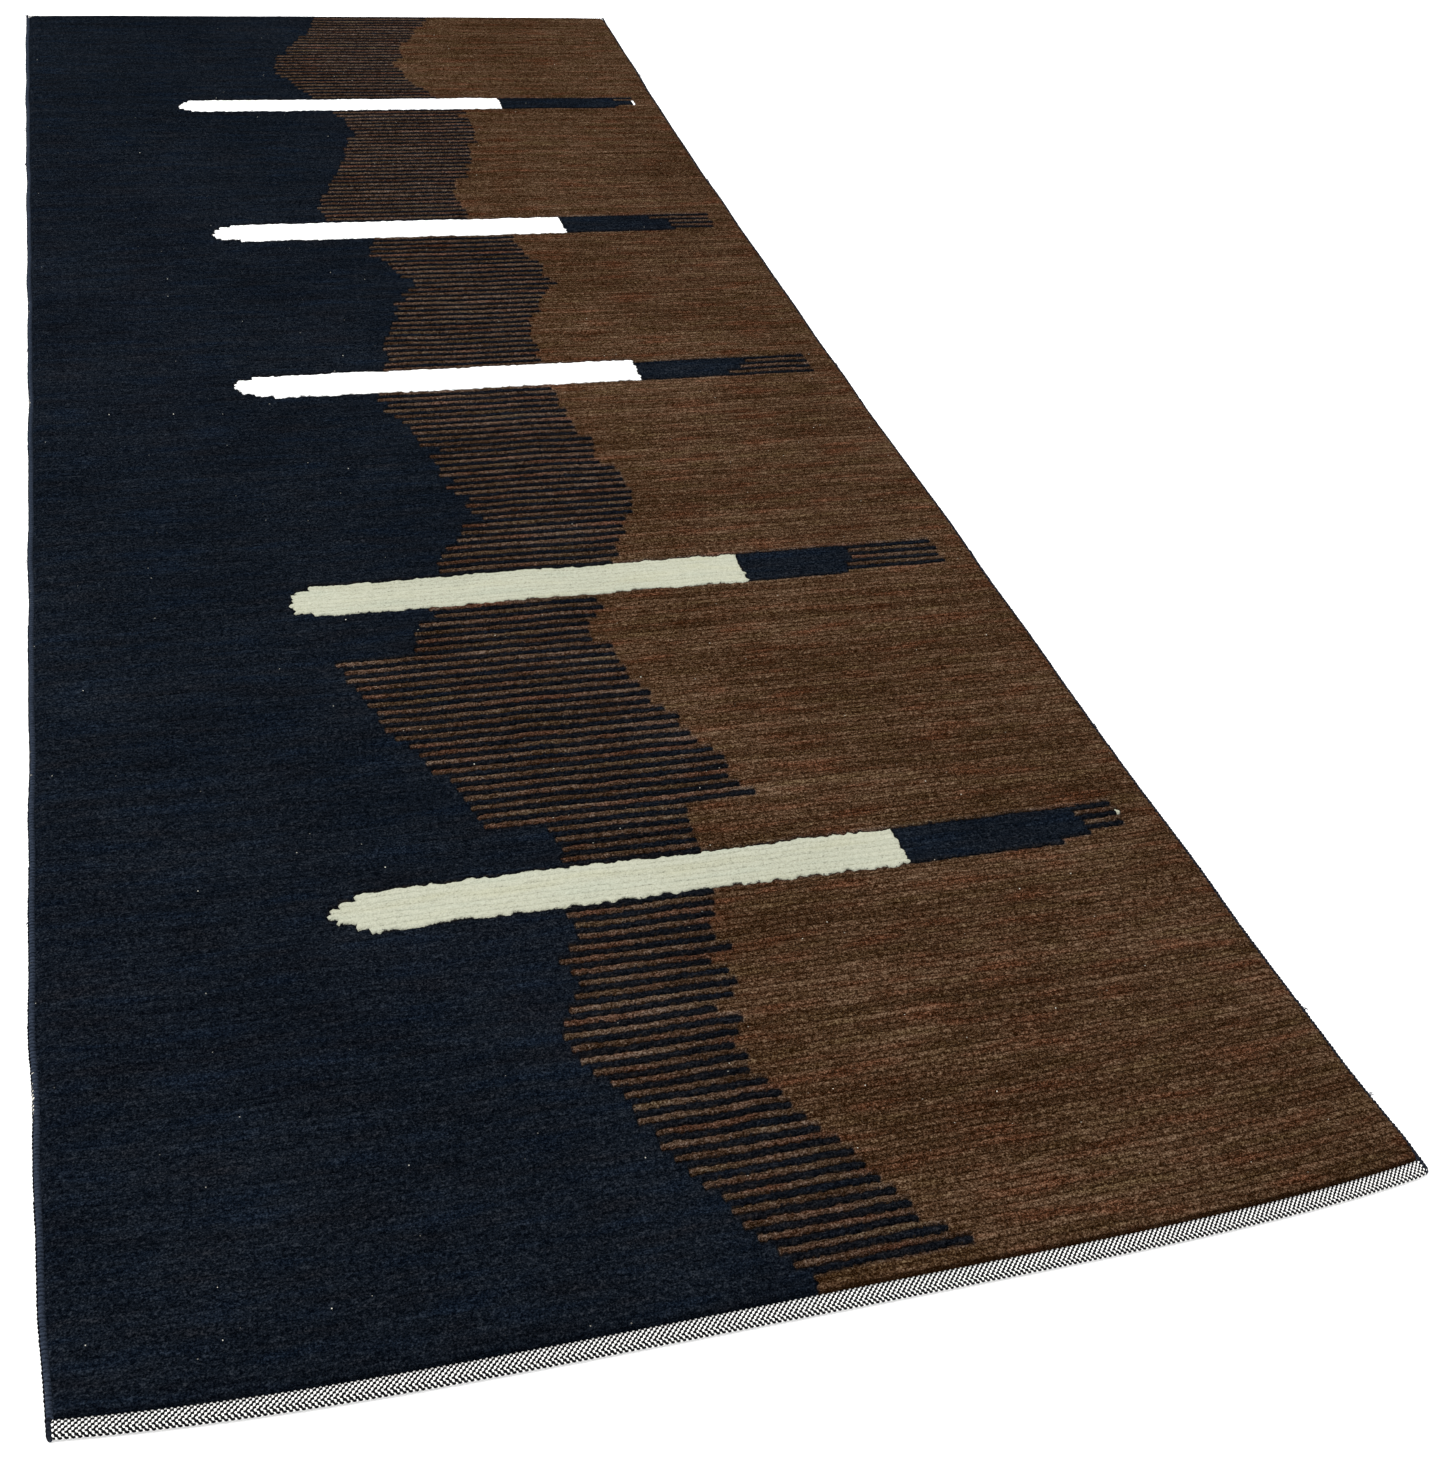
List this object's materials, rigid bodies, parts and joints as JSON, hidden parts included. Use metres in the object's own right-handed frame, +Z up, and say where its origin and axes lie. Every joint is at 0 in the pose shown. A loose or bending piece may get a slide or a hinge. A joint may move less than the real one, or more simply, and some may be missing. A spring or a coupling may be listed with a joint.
{
  "type": "runner rug",
  "caption": "Long narrow pile rug that lies flat on a floor: dark fields meet in a stepped, striped blend crossed by pale bars, with overcast sides and folded end bands.",
  "frame": {"origin": "centre of the rug's outline, on the floor it lies on", "axes": "+X runs across the rug, from the navy side to the brown side; +Y runs along it, from the near end of the picture to the far end; +Z is up, out of the pile"},
  "size_m": [0.908, 2.468, 0.01],
  "materials": {
    "navy_wool": "cut wool pile, matt",
    "brown_wool": "cut wool pile, matt, tone varies row by row",
    "cream_wool": "cut wool pile, matt",
    "white_wool": "cut wool pile, matt",
    "ground_cloth": "tight plain weave, backs of knots",
    "cotton_warp": "plain weave of pale cotton warps and dark wefts",
    "edge_cord": "twisted cotton cord",
    "overcast_wool": "tightly wrapped wool yarn",
    "hem_thread": "waxed sewing thread"
  },
  "bodies": {
    "root": {"ground_cloth": "ground_cloth", "near_end_band": "cotton_warp", "far_end_band": "cotton_warp", "near_hem_fold": "cotton_warp", "far_hem_fold": "cotton_warp", "near_hem_stitches": "hem_thread", "far_hem_stitches": "hem_thread", "left_edge_cord": "edge_cord", "right_edge_cord": "edge_cord", "left_overcasting": "overcast_wool", "right_overcasting": "overcast_wool", "corner_wrap_near_left": "overcast_wool", "corner_wrap_near_right": "overcast_wool", "corner_wrap_far_left": "overcast_wool", "corner_wrap_far_right": "overcast_wool", "navy_pile_1": "navy_wool", "navy_pile_2": "navy_wool", "navy_pile_3": "navy_wool", "navy_pile_4": "navy_wool", "navy_pile_5": "navy_wool", "navy_pile_6": "navy_wool", "brown_pile_1": "brown_wool", "brown_pile_2": "brown_wool", "brown_pile_3": "brown_wool", "brown_pile_4": "brown_wool", "brown_pile_5": "brown_wool", "brown_pile_6": "brown_wool", "cream_bar_1": "cream_wool", "cream_bar_2": "cream_wool", "white_bar_3": "white_wool", "white_bar_4": "white_wool", "white_bar_5": "white_wool", "bar_tail_1": "navy_wool", "bar_tail_2": "navy_wool", "bar_tail_3": "navy_wool", "bar_tail_4": "navy_wool", "bar_tail_5": "navy_wool", "tip_knot_1": "cream_wool", "tip_knot_5": "white_wool"}
  },
  "joints": []
}
